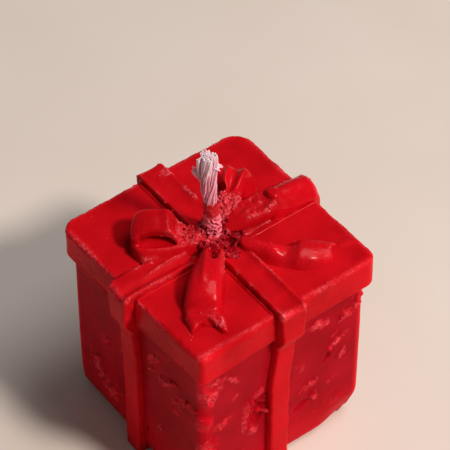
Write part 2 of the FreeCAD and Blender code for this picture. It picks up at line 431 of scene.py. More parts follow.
def run_tree(source, tree, **values):
    """Runs a tree on an object, and gives back the result as an object with a plain mesh."""
    modifier = source.modifiers.new("nodes", "NODES")
    modifier.node_group = tree
    for item in tree.interface.items_tree:
        if item.in_out == "INPUT" and item.name in values:
            modifier[item.identifier] = values[item.name]
    seen = source.evaluated_get(bpy.context.evaluated_depsgraph_get())
    mesh = bpy.data.meshes.new_from_object(seen)
    name = source.name
    bpy.data.objects.remove(source)
    return in_scene(name, mesh)


# ---- crumbs ----
def crumb_tree():
    """Scatters wax crumbs over a piece, as thickly as its `crumbs` numbers say."""
    tree, given = new_tree("wax_crumbs", (
        ("Piece", "Geometry", None), ("Wax", "Material", None),
        ("Crumbs per square metre", "Float", 1e6), ("Roundness", "Int", 2),
        ("Smallest", "Float", 0.1 * MM), ("Largest", "Float", 0.3 * MM),
        ("Paleness", "Float", 0.8), ("Seed", "Int", 1)), "Piece")
    where = add(tree, "GeometryNodeInputNamedAttribute", ("crumbs",), data_type="FLOAT")
    thick = add(tree, "ShaderNodeMath", (where, given["Crumbs per square metre"]),
                operation="MULTIPLY")
    spots = add(tree, "GeometryNodeDistributePointsOnFaces", {
        "Mesh": given["Piece"], "Density": thick, "Seed": given["Seed"]})
    ball = add(tree, "GeometryNodeMeshIcoSphere", {
        "Radius": 1.0, "Subdivisions": given["Roundness"]})
    lump = add(tree, "ShaderNodeTexNoise", {"Scale": 1.3, "Detail": 1.0}).outputs["Color"]
    shift = add(tree, "ShaderNodeVectorMath", (lump, (0.5, 0.5, 0.5)), operation="SUBTRACT")
    shift = add(tree, "ShaderNodeVectorMath", (shift, (1.5, 1.5, 1.5)), operation="MULTIPLY")
    crumb = add(tree, "GeometryNodeSetPosition", {"Geometry": ball, "Offset": shift})
    size = add(tree, "FunctionNodeRandomValue", {
        2: given["Smallest"], 3: given["Largest"], "Seed": given["Seed"]},
        data_type="FLOAT")
    turn = add(tree, "FunctionNodeRandomValue", {
        0: (0.0, 0.0, 0.0), 1: (6.3, 6.3, 6.3), "Seed": given["Seed"]},
        data_type="FLOAT_VECTOR")
    placed = add(tree, "GeometryNodeInstanceOnPoints", {
        "Points": spots, "Instance": crumb, "Rotation": turn, "Scale": size.outputs[1]})
    real = add(tree, "GeometryNodeRealizeInstances", (placed,))
    smooth = add(tree, "GeometryNodeSetShadeSmooth", (real,))
    frosted = add(tree, "GeometryNodeStoreNamedAttribute", {
        "Geometry": smooth, "Name": "frost", "Value": given["Paleness"]},
        data_type="FLOAT", domain="POINT")
    both = add(tree, "GeometryNodeJoinGeometry", (frosted,))
    tree.links.new(given["Piece"], both.inputs[0])
    dressed = add(tree, "GeometryNodeSetMaterial", {"Geometry": both, "Material": given["Wax"]})
    add(tree, "NodeGroupOutput", (dressed,))
    return tree


CRUMBS = crumb_tree()


def dress(piece, wax, crumbs, frost, per_mm2, smallest, largest, seed,
          roundness=2, paleness=0.8):
    """Gives a wax piece its crumbs, its frosted places and its material."""
    paint(piece, "crumbs", crumbs)
    paint(piece, "frost", frost)
    return run_tree(piece, CRUMBS, **{
        "Wax": wax, "Crumbs per square metre": per_mm2 / MM**2, "Smallest": smallest * MM,
        "Largest": largest * MM, "Seed": seed, "Roundness": roundness, "Paleness": paleness})


def take_place(piece, node):
    """Puts a finished piece in the frame, in place of a CAD node."""
    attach(piece, "root")
    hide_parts(node)


def out_of_square(points):
    """Moves the nearest corner of the box and lid a little to the right, as cast."""
    drift = ease(-points[:, 0] - points[:, 1], 22, 2 * LID_HALF)
    points[:, 0] += 1.1 * drift
    points[:, 1] -= 0.8 * drift
    return points


# ---- the box ----
# Torn, crumbly marks on each wall: place along it (+X or +Y), height, half length, half
# breadth, slant in degrees, and how far they stand out, or are sunk if less than 0, in mm
WALL_MARKS = {
    "front": (
        (-18.0, 34.0, 3.6, 1.9, 70, 0.55), (-12.6, 34.6, 3.2, 0.35, -50, 0.35),
        (-6.0, 25.4, 4.0, 0.5, 25, 0.55), (-9.3, 20.6, 4.6, 0.6, 80, 0.50),
        (-6.2, 20.0, 2.4, 3.4, 0, -0.80), (-6.9, 14.6, 1.3, 1.0, 0, 0.75),
        (-4.6, 18.7, 2.4, 0.5, -20, 0.55), (-15.6, 22.9, 2.4, 0.7, 20, 0.55),
        (-18.6, 18.4, 2.6, 0.8, 80, 0.60), (-11.8, 28.6, 2.6, 0.3, 50, 0.25),
        (-14.2, 9.6, 2.6, 0.9, 30, 0.40), (8.6, 35.2, 3.4, 0.7, -15, 0.50),
        (16.6, 34.2, 4.4, 0.9, 38, 0.65), (13.9, 27.4, 3.6, 0.5, 25, 0.55),
        (15.2, 22.2, 3.4, 0.5, 55, 0.40), (11.2, 23.6, 1.3, 1.2, 0, -1.00),
        (6.4, 18.4, 3.2, 0.6, 10, 0.55), (8.2, 13.4, 1.0, 1.4, 0, 0.85),
        (5.4, 13.0, 2.0, 0.9, 0, -0.60), (14.5, 8.6, 1.6, 0.7, 10, 0.75),
        (12.2, 15.4, 3.6, 0.4, 40, 0.35)),
    "left": (
        (9.0, 23.6, 4.2, 0.9, 60, 0.50), (12.6, 12.6, 4.6, 1.3, 75, 0.50),
        (8.2, 9.6, 3.4, 1.8, -30, 0.55), (-6.2, 32.0, 3.2, 1.0, -65, 0.60),
        (-10.6, 29.4, 3.8, 0.8, -30, 0.60), (-16.0, 27.6, 3.6, 0.9, -10, 0.60),
        (-13.4, 22.4, 1.8, 0.8, 0, 0.50), (-4.0, 8.4, 1.2, 1.3, 0, -0.80),
        (-8.5, 13.0, 0.9, 0.8, 0, 0.55)),
}


def on_wall(x, y, wall):
    """Place along a wall, and how surely a point belongs to it (1 on it, 0 off it)."""
    along, across = (x, -y) if wall == "front" else (y, -x)
    return along, ease(across, WALL_HALF - 2.0, WALL_HALF - 0.8)


def wall_relief(x, y, z):
    """How far the wall stands out at a place, in mm, and how crumbly it is there."""
    lumps = 0.55 + 0.6 * patchy(x, y, z, 0.9, 6) + 0.35 * patchy(x, y, z, 0.45, 7)
    ragged = 0.70 * patchy(x, y, z, 2.1, 8) + 0.65 * patchy(x, y, z, 0.8, 9)
    relief = 0.12 * patchy(x, y, z, 11.0, 10) + 0.015 * rough(x, y, z, 3.0, 11, 2)
    crusts = 1 - np.abs(rough(x, y, z, 8.0, 3)) / 0.045
    # thin crust lines, which through `crumbly` also take part of the box's painted glow
    thin_and_painted_glow = ease(crusts, 0.0, 0.8) * ease(patchy(x, y, z, 7.0, 4), 0.15, 0.5)
    relief = relief + 0.25 * thin_and_painted_glow * lumps
    crumbly = 0.5 * thin_and_painted_glow
    for wall, marks in WALL_MARKS.items():
        s, here = on_wall(x, y, wall)
        for along, up, half_length, half_breadth, slant, proud in marks:
            across, rise = turned(s - along, z - up, slant)
            bend = 0.12 * across * across / half_length
            gap = 1 - np.hypot(across / half_length, (rise + bend) / (half_breadth + 0.25))
            amount = ease(gap + 0.8 * ragged, 0.0, 0.45) * here * ease(gap, -1.2, -0.2)
            relief = relief + 1.2 * proud * amount * (lumps if proud > 0 else 1)
            crumbly = np.maximum(crumbly, amount * (1.0 if proud > 0 else 0.15))
    corner = ease(-x - y, 2 * WALL_HALF - 3.2, 2 * WALL_HALF - 1.6)  # the nearest upright edge
    torn = ease(patchy(x, y, z, 3.2, 12), -0.2, 0.3) * ease(z, 3, 6)
    ledge = 0.8 * ease(z, 24.5, 26.0) * fade(z, 27.0, 27.6)
    relief = relief + corner * (0.3 * torn * lumps + ledge)
    return relief, np.maximum(crumbly, 0.6 * corner * torn)


WALL_RADII = (3.4, 2.0, 2.4, 2.3)  # of the upright edges, in square_outline's order


def make_box():
    outline = square_outline(WALL_HALF - 0.15, WALL_RADII, 0.34)
    foot, row_gap = 2.6, 0.32  # the bottom edge is well rounded
    rows = [(-foot, 0.0, inward) for inward in (0.8, 0.5, 0.2, 0.06)]
    for a in np.radians(np.linspace(0, 90, 10)):
        rows.append((foot * (math.sin(a) - 1), foot * (1 - math.cos(a)), 0.0))
    rows += [(0.0, h, 0.0) for h in np.arange(foot + row_gap, LID_FOOT + 0.1, row_gap)]
    top = LID_FOOT + 0.1
    rows += [(-0.6, top, 0.0), (-1.5, top, 0.2), (-1.5, top, 0.6)]

    def shape(points, ways):
        x, y, z = points.T
        relief, crumbly = wall_relief(x, y, z)
        level = ease(z, 0.3, 2.0)
        worn = ease(x - y, 2 * WALL_HALF - 12, 2 * WALL_HALF - 3)  # the right front corner
        drawn_in = -0.4 * fade(z, 0.0, 7.0) - 1.4 * worn * fade(z, 0.5, 8.0)
        return out_of_square(points + ways * ((relief * level + drawn_in)[:, None]))

    piece = loft("box_body_wax", outline, rows, shape)
    x, y, z = points_of(piece)
    relief, crumbly = wall_relief(x, y, z)
    on_side = ease(z, 1.0, 3.0) * fade(z, LID_FOOT - 1.0, LID_FOOT) * (
        np.maximum(np.abs(x), np.abs(y)) > WALL_HALF - 2)
    pink = 0.25 + 0.55 * ease(patchy(x, y, z, 1.6, 13), -0.2, 0.5)
    frost = np.clip(crumbly * ease(relief, -0.3, 0.3) * pink, 0, 1) * on_side
    crumbs = crumbly * ease(relief, -0.1, 0.2) * on_side
    # painted glow: a brighter red at the upright edges and over the crumbs, and painted bounce
    # light from the table low on the walls
    edge = ease(np.abs(x) + np.abs(y), 2 * WALL_HALF - 3.2, 2 * WALL_HALF - 1.5)
    paint(piece, "thin_and_painted_glow", 0.6 * edge + 0.5 * crumbly + 0.35 * fade(z, 3, 15))
    # the walls' wax is a darker copy of the lid's, as painted shade
    piece = dress(piece, WALL_WAX_SHADED, crumbs, frost, 4.0, 0.06, 0.17, 3, 1, 0.5)
    take_place(piece, "box_body")


# ---- the lid ----
LID_RADII = (4.6, 3.4, 1.3, 2.8)  # of its corners, in square_outline's order
LIP_HEIGHT = 0.4  # of the wax that ran from the right tail to the lid's edge


def lip_ridge(x, y):
    """1 along the low ridge between the right tail's tip and the lid's right edge."""
    along, off = x - 18.0, y + 15.2 + 0.25 * (x - 18.0)
    return hump(off / 0.9) * ease(along, -1.2, 0.4) * fade(along, 2.8, 4.4)


def make_lid():
    edge, foot = 0.95, 0.6  # radii of the rim and of the lower edge
    outline = square_outline(LID_HALF, LID_RADII, 0.26)
    rows = [(-3.0, LID_FOOT, 0.4), (-3.0, LID_FOOT, 0.1), (-1.2, LID_FOOT, 0.0)]
    for a in np.radians(np.linspace(0, 90, 6)):
        rows.append((foot * (math.sin(a) - 1), LID_FOOT + foot * (1 - math.cos(a)), 0.0))
    rows += [(0.0, h, 0.0) for h in np.arange(LID_FOOT + 0.9, LID_TOP - edge - 0.2, 0.35)]
    for a in np.radians(np.linspace(0, 90, 10)):
        rows.append((edge * (math.cos(a) - 1), LID_TOP - edge * (1 - math.sin(a)), 0.0))
    rows += [(-edge, LID_TOP, t) for t in np.linspace(0.012, 0.94, 70)]

    def shape(points, ways):
        x, y, z = points.T
        reach = np.maximum(np.abs(x), np.abs(y))
        side = ease(reach, LID_HALF - 2.0, LID_HALF - 0.6) * ease(z, LID_FOOT, LID_FOOT + 1)
        rim = side * ease(z, LID_TOP - 1.6, LID_TOP - 0.6)
        out = 0.14 * patchy(x, y, z, 9.0, 21) + 0.05 * rough(x, y, z, 2.0, 22)
        out = out + rim * 0.10 * rough(x, y, z, 0.9, 23)
        bow_in = 0.45 * hump((y - 2) / 9) * (x < 0) * (np.abs(y) < LID_HALF - 1)
        lift = 0.10 * patchy(x, y, 0 * z, 12.0, 24) + 0.025 * rough(x, y, z, 1.8, 25)
        lift = lift + 0.16 * rim * rough(x, y, z, 1.1, 26) + LIP_HEIGHT * lip_ridge(x, y)
        moved = points + ways * ((side * (out - 0.1) - bow_in * side)[:, None])
        moved[:, 2] += lift * ease(z, LID_TOP - 1.2, LID_TOP - 0.2)
        return out_of_square(moved)

    piece = loft("lid_wax", outline, rows, shape)
    x, y, z = points_of(piece)
    reach = np.maximum(np.abs(x), np.abs(y))
    rim = ease(reach, LID_HALF - 1.6, LID_HALF - 0.7) * ease(z, LID_TOP - 1.2, LID_TOP - 0.4)
    patches = ease(patchy(x, y, z, 4.0, 27), 0.1, 0.6)
    specks = 0.015 * ease(z, LID_TOP - 0.5, LID_TOP - 0.2)
    # the pale frost lies in patches of crumbs on the rim, and along its crest as a painted
    # highlight line
    crest = ease(reach, LID_HALF - 1.3, LID_HALF - 0.8) * fade(reach, LID_HALF - 0.5, LID_HALF)
    frost = 0.4 * rim * patches + 0.25 * crest * rim
    # painted glow: a brighter red down the lid's sides, most at its corners
    side = ease(reach, LID_HALF - 2.4, LID_HALF - 0.4)
    corner = ease(np.abs(x) + np.abs(y), 2 * LID_HALF - 9.0, 2 * LID_HALF - 2.0)
    paint(piece, "thin_and_painted_glow", side * (0.05 + 0.5 * corner))
    piece = dress(piece, LID_WAX, 0.14 * rim * patches + specks, frost, 1.6, 0.06, 0.18, 5)
    take_place(piece, "lid")


# ---- the ribbon ----
# For each arm, as seen by looking outwards along it: its direction in degrees; how far the
# foot of its wall band leans to the left; the height of its top over the lid at places
# across it, from right to left; and how crumbly its right and left edges are
ARMS = {
    "ribbon_right": (0, 0.0, (
        (-3.2, 0.0), (-2.2, 0.1), (-1.3, 1.0), (0, 1.5), (3.2, 1.4)), (0.0, 0.1)),
    "ribbon_back": (90, 0.0, ((-3.2, 1.9), (-2.4, 1.6), (2.2, 1.6), (3.2, 1.8)), (0.9, 0.1)),
    "ribbon_left": (180, 0.8, (
        (-3.2, 1.5), (-2.0, 1.4), (-0.2, 1.4), (1.4, 0.9), (2.6, 1.5), (3.2, 1.3)),
        (0.8, 0.45)),
    "ribbon_front": (270, -1.4, ((-3.2, 1.9), (-1.8, 1.4), (1.7, 1.1), (2.6, 1.6), (3.2, 1.2)),
                     (0.3, 0.45)),
}
# The rounded block at the end of the right arm: its rise along the arm, in mm
END_BLOCK = ((11.4, 0.0), (12.8, 3.3), (15.5, 3.2), (20.0, 2.4), (24.5, 1.2))


def make_arm(node):
    turn, lean, across, edges = ARMS[node]
    seed = 31 + turn // 90
    wall_face = WALL_HALF - WALL_BULGE + RIBBON_PROUD
    lid_face = RIBBON_REACH - (0.9 if turn < 180 else 0.0)

    def field(x, y, z):
        sunk = 1.0 * fade(x, 4, 12) * (turn == 180)  # it dips towards the knot
        top = LID_TOP + through(y, across) - sunk + 0.10 * rough(x, y, z, 1.8, seed)
        if turn == 0:
            top = top + through(x, END_BLOCK) * np.sqrt(np.clip(1 - (y / 3.0) ** 2, 0, 1))
        face = wall_face + (lid_face - wall_face) * ease(z, LID_FOOT - 3.8, LID_FOOT + 0.6)
        face = face + 0.10 * patchy(x, y, z, 5.0, seed + 3)
        if turn == 180:
            crest = 0.25 * rough(x, y, z, 1.5, 39) + 0.8
            crest = crest * hump((y - 0.05 * (x - 13)) / 0.28)
            top = top + crest * ease(x, 6, 8) * fade(x, 15, 18.5)
        inner = np.minimum(np.maximum(LID_TOP - 1.0 - z, 4.2 - x), face - 2.6 - x)
        middle = y - lean * fade(z, LID_FOOT - 16, LID_FOOT + 1)
        half = 2.25 + 0.7 * ease(z, LID_FOOT - 5, LID_TOP)
        ragged = 0.14 * rough(x, y, z, 1.5, seed + 4)
        depth = trimmed(z - top, (x - face, 1.0 if turn == 270 else 1.9), (inner, 0.2),
                        (np.abs(middle) - half + ragged, 0.6))
        foot_lines = np.hypot(np.abs(y) - 3.35, z - LID_TOP) - 0.34 * ease(x, 3.0, 9.0)
        foot_lines = np.maximum(foot_lines + 0.12 * ragged, x - LID_HALF + 0.6)
        foot_lines = np.maximum(foot_lines, 4.5 - x)
        depth = joined(depth, foot_lines, 0.25)
        return within(depth, 0.02 - z, 0.2)

    low = (1.0, -RIBBON_HALF - 1.4, -0.4)
    high = (RIBBON_REACH + 0.6, RIBBON_HALF + 1.4, RIBBON_TOP + 3.2)
    piece = cast(node + "_wax", low, high, 0.2, field, turn)
    x, y, z = points_of(piece)
    x, y = turned(x, y, turn)
    on_top = ease(z, LID_TOP + 0.5, LID_TOP + 1.1)
    patches = ease(patchy(x, y, z, 2.2, seed + 8), -0.3, 0.4)
    end = ease(x, lid_face - 1.6, lid_face - 0.4) * ease(z, LID_TOP - 0.5, LID_TOP + 0.8)
    right_edge = hump((y + 2.75) / 0.45) * edges[0]
    left_edge = hump((y - 2.75) / 0.45) * edges[1]
    # the left arm's crest is frosted paler, a painted highlight for the glints along it
    crest = hump((y - 0.05 * (x - 13)) / 0.3) * (0.6 if turn == 180 else 0.0)
    crest = crest * ease(x, 6, 8) * fade(x, 15, 18.5)
    crust = hump((y + 2.3) / 0.8) * ease(x, 15, 17) * (turn == 90)
    crumbs = (right_edge + left_edge) * patches * on_top + 0.5 * end * patches
    crumbs = crumbs + 0.8 * crust * on_top * ease(patches, 0.1, 0.5)
    frost = np.clip(crumbs + crest * on_top + 0.25 * end, 0, 1)
    # painted glow: a brighter red on the band down the walls and at the arm's end
    paint(piece, "thin_and_painted_glow", 0.3 * fade(z, LID_FOOT, LID_TOP) + 0.4 * end)
    piece = dress(piece, LID_WAX if turn else BOW_WAX, crumbs, frost, 3.6, 0.07, 0.24, seed)
    take_place(piece, node)


# ---- the bow ----
# Each piece of the bow is shaped in its own directions: u outwards from the candle's
# middle, v to the left of that, and w up from the lid.
def froth(depth, x, y, z, where, spacing, seed, open_share=0.36):
    """Wax full of bubbles: opens pits in the skin where `where` is near 1."""
    lumps = 0.22 * rough(x, y, z, spacing * 1.1, seed)
    gap = bubble_gap(x, y, z, spacing, seed + 1)
    uneven = 1 + 0.55 * patchy(x, y, z, spacing * 2.3, seed + 2)
    pits = open_share * spacing * where * uneven - gap
    return within(depth - where * lumps, pits, 0.12 * spacing)


def settle(depth, w, strength=0.45):
    """A small fillet where a piece of the bow runs into the lid."""
    return depth - strength * np.exp(-np.clip(w, 0, 9) / 0.4)


def bow_piece(node, turn, low, high, step, field, roughness, crumbs, seed,
              wax=BOW_WAX, paleness=0.8):
    """Casts a piece of the bow and dresses it by `roughness`, from u, v and w.

    `crumbs` is how many there are per mm2, and their smallest and largest radius in mm.
    """
    piece = cast(node + "_wax", low, high, step, field, turn, LID_TOP)
    x, y, z = points_of(piece)
    amount = roughness(*turned(x, y, turn), z - LID_TOP)
    piece = dress(piece, wax, amount, np.clip(amount, 0, 1), *crumbs, seed, paleness=paleness)
    take_place(piece, node)


def make_left_loop():
    """A loop on its side: a broad band bent over a hollow that opens to the front."""

    def root(u, v, w):
        return fade(u, 7.6, 8.5) * ease(w, 1.2, 2.4) * fade(v, 2.4, 3.2)

    def field(u, v, w):
        top = through(u, [
            (1, 2.4), (4, 3.4), (7.6, 4.0), (8.7, 6.0), (11.5, 6.5), (14.5, 6.2), (16.9, 5.2)])
        top = top - 0.22 * (v + 1.0) - 0.03 * (v + 1.0) ** 2
        edge = through(u, [(2, 3.3), (7.5, 2.7), (10.4, 1.9), (13.2, 1.5), (17, 1.9)])
        band = trimmed(w - top, (top - 2.1 - w, 0.6), (v - edge, 0.7))
        reach = through(u, [(1, 2.6), (6.7, 3.9), (10.7, 4.9), (15, 5.0), (17, 4.2)]) / 4.9
        low_top = through(v / reach, [
            (-4, 3.4), (-0.6, 3.2), (1.2, 2.4), (2.6, 2.3), (3.5, 2.9), (4.2, 2.4), (4.9, 1.3),
            (5.4, 0.3), (6.0, -0.4)])
        low_top = low_top * through(u, [(1, 1.0), (7, 0.9), (12, 0.95), (17, 1.05)])
        skirt = 1.5 * hump((u - 13.9 + 0.5 * (v - 5)) / 1.3) * ease(v, 4.0, 4.8)
        skirt = skirt * (1 + 0.35 * patchy(u, v, w, 0.9, 57))
        lower = w - np.maximum(low_top, skirt * fade(v, 6.2, 7.2))
        back_wall = np.maximum(w - top + 0.3, v + 0.5)
        end_wall = np.maximum(np.maximum(w - top + 0.3, 15.7 - u), v - edge - 0.3)
        depth = joined(joined(band, lower, 0.5), joined(back_wall, end_wall, 0.5), 0.5)
        nose = 17.1 - 0.10 * (v - 0.6) ** 2
        back = -through(u, [(1, 1.0), (5, 1.6), (8.6, 2.9), (13, 3.5), (17, 3.4)])
        depth = trimmed(depth, (u - nose, 0.9), (back - v, 0.9))
        depth = settle(depth, w, 0.3) + 0.05 * patchy(u, v, w, 2.6, 51)
        depth = depth + 0.03 * rough(u, v, w, 1.0, 52)
        return froth(depth, u, v, w, root(u, v, w), 0.7, 53)

    def roughness(u, v, w):
        lip = ease(v, 4.4, 5.2) * ease(w, 0.3, 0.7) * fade(w, 1.4, 2.2) * ease(u, 11, 13)
        edge = hump((v - 2.2) / 0.5) * ease(w, 3.2, 3.8) * fade(u, 9, 12)
        pink = 0.25 + 0.5 * ease(patchy(u, v, w, 1.5, 56), -0.2, 0.4)
        return pink * root(u, v, w) + 0.7 * lip + 0.35 * edge

    bow_piece("bow_loop_left", 148, (0.8, -4.6, -0.3), (18.0, 8.0, 8.0), 0.14, field,
              roughness, (2.6, 0.07, 0.22), 55)


def make_back_loop():
    """A loop that stands up behind the wick: two soft folds that fan out from its root."""

    def root(u, v, w):
        return fade(u, 8.4, 9.4) * ease(w, 1.0, 2.2)

    def field(u, v, w):
        top = through(u, [
            (3, 2.6), (6, 3.9), (8.8, 4.4), (10.4, 4.1), (13, 5.0), (15, 5.2), (16.6, 4.7)])
        fan = ease(u, 8.6, 14.0)
        fold_left = hump((v - 1.2 - 0.9 * fan) / 0.8)
        fold_right = hump((v + 0.5 + 0.7 * fan) / 0.9)
        top = top - ease(u, 8.8, 11.0) * 0.95 * (1 - np.maximum(fold_left, fold_right))
        half_left = through(u, [(3, 1.5), (8, 2.3), (12, 2.5), (16.6, 3.2)])
        half_right = through(u, [(3, 1.4), (7, 2.8), (10, 1.9), (16.6, 2.7)])
        half_right = half_right + 0.3 * np.clip(4 - w, 0, 4) * ease(u, 8, 12)
        end = 16.8 - 0.08 * v * v - 0.04 * np.clip(w - 2, 0, 9) ** 2
        pocket = np.hypot(np.hypot((u - 10.6) / 1.3, (v - 2.0) / 0.8), (w - 3.4) / 1.6) - 1
        depth = trimmed(w - top, (v - half_left, 0.8), (-half_right - v, 0.8),
                        (u - end, 0.9), (-0.8 * pocket, 0.4))
        depth = settle(depth, w) + 0.06 * patchy(u, v, w, 2.2, 61)
        return froth(depth, u, v, w, root(u, v, w), 0.7, 63)

    def roughness(u, v, w):
        crest = ease(u, 9.4, 10.4) * fade(u, 10.6, 11.8) * ease(v, 0.2, 1.2)
        pink = 0.5 + 0.4 * ease(patchy(u, v, w, 1.5, 66), -0.2, 0.4)
        return pink * root(u, v, w) + 0.5 * crest * ease(w, 3.6, 4.2)

    bow_piece("bow_loop_back", 38, (2.2, -4.4, -0.3), (17.6, 4.4, 6.6), 0.14, field,
              roughness, (2.6, 0.07, 0.24), 65)


def make_right_loop():
    """A loop pressed flat along the ribbon: a smooth roll in front, its crown torn."""

    def crown(u, v, w):
        return ease(w, 3.2, 4.0) * ease(u, 4.4, 6.0) * fade(v, 1.6, 2.4)

    def field(u, v, w):
        top = through(u, [
            (1, 2.2), (3.5, 3.1), (6, 4.0), (9, 4.2), (11.5, 4.3), (13.4, 4.2)])
        top = top + ease(u, 5, 7) * ease(v, -2.2, -1.2) * (
            0.45 * patchy(u, v, w, 2.0, 71) + 0.25 * patchy(u, v, w, 1.0, 76))
        front = -through(u, [(1, 1.2), (4, 2.0), (6, 2.5), (8, 2.8), (11, 2.9), (13.4, 2.6)])
        far = through(u, [(1, 1.5), (4, 2.4), (8, 3.0), (11, 2.9), (13.4, 2.6)])
        under = np.maximum(w - 1.6, v + 1.0)  # its front edge is clear of the ribbon
        depth = trimmed(w - top, (front - v, 2.2), (v - far, 1.2), (u - 13.4, 0.7),
                        (-under, 0.5))
        depth = settle(depth, w, 0.3) + 0.05 * patchy(u, v, w, 2.0, 72)
        lumps = 0.35 * np.abs(patchy(u, v, w, 1.6, 77)) * crown(u, v, w)
        return froth(depth + lumps, u, v, w, 0.5 * crown(u, v, w), 1.6, 73)

    def roughness(u, v, w):
        front_edge = hump((v + 1.7) / 0.6) * ease(u, 4.5, 6)
        torn = ease(patchy(u, v, w, 1.3, 78), -0.4, 0.4)
        return crown(u, v, w) * (0.02 + 0.55 * front_edge * torn)

    bow_piece("bow_loop_right", 0, (0.8, -4.6, -0.3), (14.2, 3.9, 6.0), 0.14, field,
              roughness, (2.2, 0.07, 0.26), 75)


def make_front_tail():
    """A long tail with a full, domed back, turned up in a short notched flap at its end."""

    def field(u, v, w):
        top = through(u, [
            (2, 2.2), (5, 3.4), (8, 4.5), (12, 5.0), (15.5, 4.7), (18.2, 3.5), (19.7, 1.9),
            (20.3, 1.7), (21.2, 2.3), (22.6, 1.7), (24.6, 0.7)])
        left = through(u, [
            (2, -2.2), (5, -2.7), (8, -3.4), (12, -4.3), (16, -4.7), (19.6, -4.8), (20.4, -4.5),
            (21.4, -4.4), (23, -3.5), (24.6, -2.7)])
        right = through(u, [
            (2, 1.9), (7.7, 2.1), (12, 2.3), (16, 2.4), (19.4, 2.5), (21, 3.2), (23, 4.0),
            (24.6, 4.4)])
        middle = 0.5 * (left + right)
        across = (v - middle) / (0.5 * (right - left))
        body = ease(u, 4, 8) * fade(u, 19.0, 20.2)
        ridge = 0.35 * hump((v + 1.6) / 0.7) * ease(u, 5, 7) * fade(u, 13, 16)
        cleft = through(u, [(3, -0.3), (8, -0.1), (13, -0.2)])
        groove = 3.0 * hump((v - cleft) / 0.7) * fade(u, 5.8, 9.5)
        scoop = 0.4 * ease(u, 20.6, 22.5) * (1 - across**2)
        skin = top - 1.1 * body * across**2 + ridge - groove - scoop
        root = 4.5 - u + 0.4 * patchy(u, v, w, 1.4, 84)
        end = 23.4 - 1.6 * np.clip(1 - np.abs(v - 0.2) / 2.8, 0, 1) ** 0.8
        end = end + 0.8 * hump((v + 2.6) / 0.8) + 0.3 * patchy(u, v, w, 1.3, 81)
        depth = trimmed(w - skin, (root, 0.5), (left - v, 1.5), (v - right, 1.5),
                        (u - end, 0.3))
        depth = settle(depth, w, 0.25)
        return depth + 0.05 * patchy(u, v, w, 2.5, 82) + 0.03 * rough(u, v, w, 0.9, 83)

    def roughness(u, v, w):
        flap = ease(u, 20.6, 21.4) * ease(v, -0.4, 1.4) * ease(w, 0.7, 1.3)
        fold = hump((u - 20.6) / 0.5) * ease(w, 1.2, 1.6)
        side = hump((v - 1.9) / 0.5) * fade(u, 10, 14) * ease(w, 1.5, 3)
        torn = ease(patchy(u, v, w, 1.2, 87), -0.3, 0.5)
        return (0.5 * flap + 0.3 * fold) * torn + 0.35 * side

    bow_piece("bow_tail_front", 228, (1.4, -5.8, -0.3), (25.2, 5.4, 6.0), 0.15, field,
              roughness, (2.2, 0.07, 0.22), 85)


def make_right_tail():
    """A short tail that dips, rises in a crease and ends in a cupped flap."""

    def field(u, v, w):
        top = through(u, [
            (2, 2.2), (5, 2.8), (9, 3.2), (12, 3.1), (14.2, 2.3), (15.4, 2.7), (16.4, 3.2),
            (18, 3.1), (20.5, 2.5), (23.5, 1.5)])
        fold = 0.5 * hump((u - 16.0) / 0.8) * ease(v, -0.5, 1.5)
        near = through(u, [
            (2, -2.0), (8, -3.0), (11, -3.7), (15, -4.1), (18, -3.9), (20.7, -2.7), (23.4, -0.6)])
        far = through(u, [
            (2, 0.6), (8, 0.0), (12, -0.2), (14.5, 0.9), (17, 2.2), (20, 3.1), (23.4, 3.7)])
        middle = 0.5 * (near + far)
        across = (v - middle) / (0.5 * (far - near))
        dome = 1.0 * across**2 * ease(u, 6, 10) - 0.10 * (v - far)
        root = 4.9 - u + 0.4 * patchy(u, v, w, 1.4, 94)
        cup = 22.9 - 0.9 * np.clip(1 - np.abs(v - 1.7) / 1.8, 0, 1)
        tip = u - cup - 0.2 * patchy(u, v, w, 1.4, 91)
        depth = trimmed(w - (top + fold - dome), (root, 0.5), (v - far, 1.0), (near - v, 1.5),
                        (tip, 0.4))
        depth = settle(depth, w, 0.3)
        return depth + 0.06 * patchy(u, v, w, 2.2, 92) + 0.02 * rough(u, v, w, 0.9, 93)

    def roughness(u, v, w):
        crease = hump((u - 15.6) / 0.9) * ease(w, 1.6, 2.4) * ease(v, -1.5, 0.5)
        rim = ease(u, 21.0, 22.4) * ease(w, 0.6, 1.2)
        torn = ease(patchy(u, v, w, 1.3, 97), 0.0, 0.5)
        return 0.35 * crease * torn + 0.2 * rim + 0.02

    bow_piece("bow_tail_right", 310.5, (1.4, -5.2, -0.3), (24.2, 4.8, 4.6), 0.16, field,
              roughness, (1.8, 0.08, 0.22), 95)


# Lumps and hollows of the knot: x, y, height over the lid, radius (mm)
KNOT_LUMPS = (
    (-4.1, -0.9, 2.0, 1.0), (0.8, -5.3, 1.0, 0.75), (-2.3, -1.6, 1.2, 1.1), (2.0, 1.8, 2.9, 1.4),
    (-2.8, 2.2, 2.6, 1.3), (3.4, -3.6, 1.0, 0.9), (2.2, -3.9, 1.1, 0.45), (1.2, -1.2, 0.9, 0.9))
KNOT_HOLLOWS = (
    (-3.4, -3.3, 1.8, 1.25), (0.8, -2.8, 2.0, 1.0), (1.9, -5.4, 1.6, 1.0),
    (3.6, -2.0, 2.2, 1.1), (-4.1, -0.9, 3.2, 0.45), (-0.9, -4.3, 1.8, 0.7))


